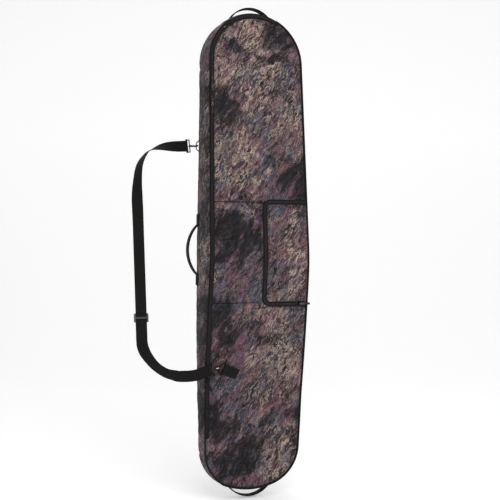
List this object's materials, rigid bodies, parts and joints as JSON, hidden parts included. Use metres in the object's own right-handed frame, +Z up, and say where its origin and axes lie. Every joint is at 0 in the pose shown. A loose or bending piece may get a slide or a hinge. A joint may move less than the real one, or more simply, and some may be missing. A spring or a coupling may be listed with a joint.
{
  "type": "snowboard bag",
  "caption": "Tall padded snowboard bag with a zip-open front, a zipped front pocket, grab handles and a clip-on webbing shoulder strap.",
  "frame": {"origin": "centre of the flat back face, level with the middle of the bag's length", "axes": "+Z up along the bag to its nose end, +Y out of the flat back, the zipped front faces -Y"},
  "size_m": [0.6172, 0.165, 1.7181],
  "materials": {
    "print_fabric": "printed coated polyester, crinkled matt sheen",
    "lining_fabric": "thin smooth nylon lining",
    "padding": "closed-cell foam sheet",
    "base_fabric": "heavy coated fabric",
    "binding": "bound cord piping",
    "zip_tape": "woven zip tape",
    "zip_coil": "moulded nylon coil",
    "slider_metal": "black paint, worn at the edges",
    "pull_cord": "moulded cord pull",
    "webbing": "heavy woven polyester webbing",
    "hook_metal": "black nickel plate",
    "pin_metal": "bright pin",
    "buckle_plastic": "fine-grained moulded acetal"
  },
  "bodies": {
    "shell": {"base_patch": "base_fabric", "back_panel": "base_fabric", "back_pad": "padding", "gusset_left": "print_fabric", "gusset_right": "print_fabric", "gusset_top": "print_fabric", "gusset_bottom": "print_fabric", "lining": "lining_fabric", "front_lower": "print_fabric", "piping": "binding", "zip_tape_shell": "zip_tape", "zip_coil_shell": "zip_coil", "zip_tape_lower": "zip_tape", "zip_coil_lower": "zip_coil", "zip_end_tabs": "base_fabric", "top_handle_feet": "webbing", "bottom_handle_feet": "webbing", "side_handle_feet": "webbing", "board_straps": "webbing", "dring_tab_upper": "base_fabric", "dring_tab_lower": "base_fabric"},
    "cover": {"cover_middle": "print_fabric", "cover_upper": "print_fabric", "cover_pad": "padding", "zip_tape_cover": "zip_tape", "zip_coil_cover": "zip_coil", "pocket_tape_outer": "zip_tape", "pocket_coil_outer": "zip_coil", "pocket_lining": "lining_fabric"},
    "pocket": {"pocket_flap": "print_fabric", "pocket_tape_flap": "zip_tape", "pocket_coil_flap": "zip_coil"},
    "slider_up": {"slider_upper": "slider_metal"},
    "slider_low": {"slider_lower": "slider_metal"},
    "pull_up": {"pull_upper": "slider_metal", "pull_cord_upper": "pull_cord"},
    "pull_low": {"pull_lower": "slider_metal", "pull_cord_lower": "pull_cord"},
    "pocket_slide": {"pocket_slider": "slider_metal"},
    "pocket_pulls": {"pocket_pull": "slider_metal", "pocket_cord": "pull_cord"},
    "top_handle": {"top_handle": "webbing"},
    "bottom_handle": {"bottom_handle": "webbing"},
    "side_handle": {"side_handle": "webbing"},
    "dring_up": {"dring_upper": "hook_metal"},
    "dring_low": {"dring_lower": "hook_metal"},
    "strap": {"strap_main": "webbing", "strap_return": "webbing", "frame_upper": "hook_metal", "frame_lower": "hook_metal"},
    "hook_up": {"hook_upper": "hook_metal", "gate_pin_upper": "pin_metal"},
    "hook_low": {"hook_lower": "hook_metal", "gate_pin_lower": "pin_metal"},
    "gate_up": {"gate_upper": "hook_metal"},
    "gate_low": {"gate_lower": "hook_metal"},
    "adjuster": {"adjuster": "buckle_plastic"}
  },
  "joints": [
    {"name": "cover_fold", "type": "hinge", "parent": "shell", "child": "cover", "pos_m": [0.1785, -0.15084, 0.04], "axis": [-0.017, 0.0613, 0.998], "range_deg": [0, 95], "deforming": ["zip_tape_cover", "zip_coil_cover"]},
    {"name": "zip_lower", "type": "slide", "parent": "shell", "child": "slider_low", "axis": [-0.017, -0.0613, -0.998], "range_m": [0, 0.455]},
    {"name": "zip_upper", "type": "slide", "parent": "shell", "child": "slider_up", "axis": [0.017, 0.0613, 0.998], "range_m": [0, 0.08]},
    {"name": "pull_upper_tilt", "type": "hinge", "parent": "slider_up", "child": "pull_up", "pos_m": [-0.16435, -0.12429, 0.549], "axis": [0.9999, -0.001, -0.0169], "range_deg": [0, 85]},
    {"name": "pull_lower_tilt", "type": "hinge", "parent": "slider_low", "child": "pull_low", "pos_m": [-0.16482, -0.12601, 0.521], "axis": [-0.9999, 0.001, 0.0169], "range_deg": [0, 85]},
    {"name": "pocket_fold", "type": "hinge", "parent": "cover", "child": "pocket", "pos_m": [0.1755, -0.156, 0], "axis": [0, 0, 1], "range_deg": [0, 75], "deforming": ["pocket_tape_flap", "pocket_coil_flap"]},
    {"name": "pocket_zip", "type": "slide", "parent": "cover", "child": "pocket_slide", "axis": [-1, 0, 0], "range_m": [0, 0.095]},
    {"name": "pocket_pull_tilt", "type": "hinge", "parent": "pocket_slide", "child": "pocket_pulls", "pos_m": [0.1525, -0.14051, -0.1787], "axis": [0, 0.1394, -0.9902], "range_deg": [0, 110]},
    {"name": "top_handle_swing", "type": "hinge", "parent": "shell", "child": "top_handle", "pos_m": [0, -0.049, 0.8256], "axis": [1, 0, 0], "range_deg": [-30, 30], "stiffness_Nm_per_rad": 0.02},
    {"name": "bottom_handle_swing", "type": "hinge", "parent": "shell", "child": "bottom_handle", "pos_m": [0, -0.034, -0.8305], "axis": [1, 0, 0], "range_deg": [-28, 28], "stiffness_Nm_per_rad": 0.02},
    {"name": "side_handle_swing", "type": "hinge", "parent": "shell", "child": "side_handle", "pos_m": [-0.1944, -0.023, 0.01], "axis": [0, 0, 1], "range_deg": [-30, 30], "stiffness_Nm_per_rad": 0.02},
    {"name": "dring_upper_swing", "type": "hinge", "parent": "shell", "child": "dring_up", "pos_m": [-0.161, 0.0024, 0.373], "axis": [0, 0, 1], "range_deg": [-4, 4]},
    {"name": "dring_lower_lift", "type": "hinge", "parent": "shell", "child": "dring_low", "pos_m": [-0.1166, -0.10533, -0.4006], "axis": [0.3746, -0.1292, 0.9181], "range_deg": [-4, 0.5]},
    {"name": "strap_swing", "type": "hinge", "parent": "shell", "child": "strap", "pos_m": [-0.13701, -0.11272, -0.39331], "axis": [-0.0599, 0.1427, 0.9879], "range_deg": [-1, 60]},
    {"name": "hook_upper_swivel", "type": "hinge", "parent": "strap", "child": "hook_up", "pos_m": [-0.1835, -0.002, 0.373], "axis": [-0.9982, -0.0086, -0.0593], "range_deg": [-8, 8]},
    {"name": "hook_lower_swivel", "type": "hinge", "parent": "strap", "child": "hook_low", "pos_m": [-0.13701, -0.11272, -0.39331], "axis": [-0.9865, -0.0234, -0.1623], "range_deg": [-8, 8]},
    {"name": "gate_upper_open", "type": "hinge", "parent": "hook_up", "child": "gate_up", "pos_m": [-0.19548, -0.00873, 0.37325], "axis": [-0.0599, 0.1427, 0.9879], "range_deg": [0, 30], "stiffness_Nm_per_rad": 0.02},
    {"name": "gate_lower_open", "type": "hinge", "parent": "hook_low", "child": "gate_low", "pos_m": [-0.14885, -0.11963, -0.3943], "axis": [-0.1639, 0.1411, 0.9763], "range_deg": [0, 30], "stiffness_Nm_per_rad": 0.02},
    {"name": "adjuster_slide", "type": "slide", "parent": "strap", "child": "adjuster", "axis": [0.0034, 0.143, 0.9897], "range_m": [-0.06, 0.3]}
  ],
  "couplings": [
    {"joint": "zip_lower", "follows": "cover_fold", "m_per_rad": 0.2741},
    {"joint": "zip_upper", "follows": "cover_fold", "m_per_rad": 0.0482},
    {"joint": "pocket_zip", "follows": "pocket_fold", "m_per_rad": 0.0722}
  ]
}
